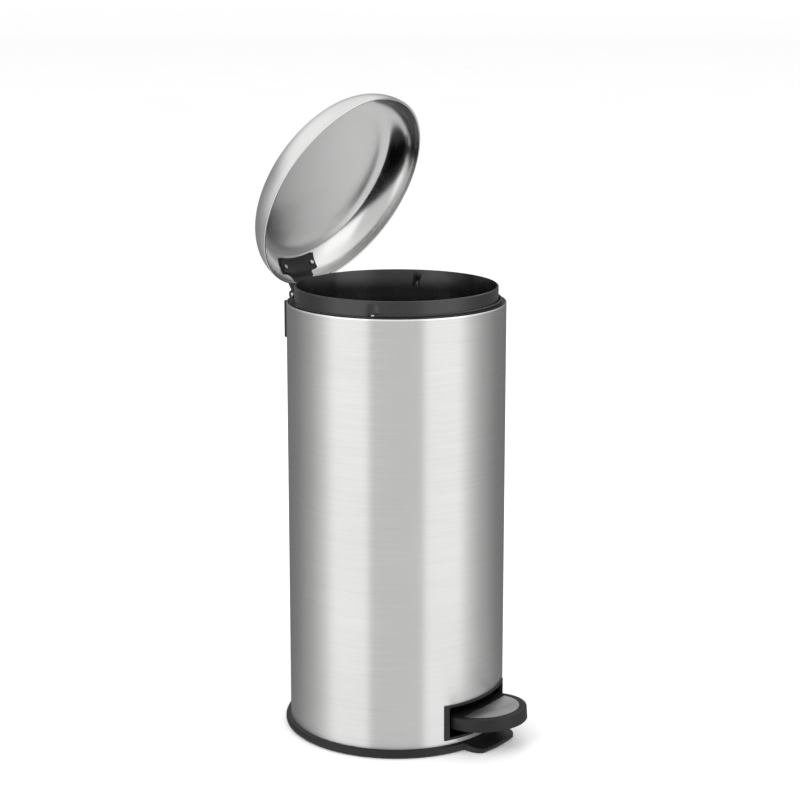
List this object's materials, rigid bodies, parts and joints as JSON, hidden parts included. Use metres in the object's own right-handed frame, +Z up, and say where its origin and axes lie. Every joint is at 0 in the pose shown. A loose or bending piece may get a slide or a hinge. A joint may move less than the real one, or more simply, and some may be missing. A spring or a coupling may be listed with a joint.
{
  "type": "pedal trash can",
  "caption": "Round free-standing pedal trash can with a brushed steel body, a hinged domed lid that closes softly, and a lift-out inner bucket with a bail.",
  "frame": {"origin": "centre of the base ring's footprint on the floor, on the axis of the steel body", "axes": "+Z up, -Y towards the pedal, +Y towards the lid hinge, X sideways"},
  "size_m": [0.3064, 0.3865, 0.8578],
  "materials": {
    "shell_steel": "fine horizontal brushed grain, fingerprint-proof lacquer",
    "lid_steel": "brushed outside, polished inside",
    "plate_steel": "fine brushed",
    "zinc_steel": "zinc plated",
    "black_plastic": "fine moulded texture",
    "bucket_plastic": "satin moulded",
    "bail_wire": "black coated wire",
    "rubber": "matt"
  },
  "bodies": {
    "can_body": {"body_shell": "shell_steel", "cover_screws": "zinc_steel", "axle_bracket_left": "zinc_steel", "axle_bracket_right": "zinc_steel", "bracket_rivets": "zinc_steel", "lever_axle": "zinc_steel", "axle_clips": "zinc_steel", "damper_barrel": "zinc_steel", "hinge_pin": "zinc_steel", "hinge_bracket": "zinc_steel", "hinge_screws": "zinc_steel", "pedal_bezel": "black_plastic", "top_ring": "black_plastic", "base_ring": "black_plastic", "base_floor": "black_plastic", "mechanism_cover": "black_plastic", "rod_guides": "black_plastic", "damper_clamp": "black_plastic", "hinge_housing": "black_plastic", "inner_bucket": "bucket_plastic", "non_slip_ring": "rubber"},
    "lid_body": {"lid": "lid_steel", "lid_hinge_block": "black_plastic", "lid_rivets": "zinc_steel", "rod_pin": "zinc_steel"},
    "pedal_body": {"pedal_moulding": "black_plastic", "pedal_plate": "plate_steel", "pedal_screws": "zinc_steel", "pedal_lever": "zinc_steel"},
    "rod_body": {"push_rod": "zinc_steel", "rod_eye": "black_plastic", "rod_shoe": "black_plastic", "damper_piston": "zinc_steel", "damper_crosshead": "black_plastic"},
    "bail_body": {"bucket_bail": "bail_wire"}
  },
  "joints": [
    {"name": "lid_hinge", "type": "hinge", "parent": "can_body", "child": "lid_body", "pos_m": [0, 0.155, 0.583], "axis": [-1, 0, 0], "range_deg": [-63, 0]},
    {"name": "pedal_lever_pivot", "type": "hinge", "parent": "can_body", "child": "pedal_body", "pos_m": [0, -0.05, 0.0345], "axis": [1, 0, 0], "range_deg": [-5.3, 0]},
    {"name": "push_rod_slide", "type": "slide", "parent": "can_body", "child": "rod_body", "axis": [0, 0, 1], "range_m": [-0.01758, 0]},
    {"name": "bail_pivot", "type": "hinge", "parent": "can_body", "child": "bail_body", "pos_m": [0, 0, 0.5892], "axis": [-0.9063, -0.4226, 0], "range_deg": [0, 176]}
  ],
  "couplings": [
    {"joint": "pedal_lever_pivot", "follows": "lid_hinge", "ratio": 0.084034},
    {"joint": "push_rod_slide", "follows": "lid_hinge", "m_per_rad": 0.015966}
  ]
}
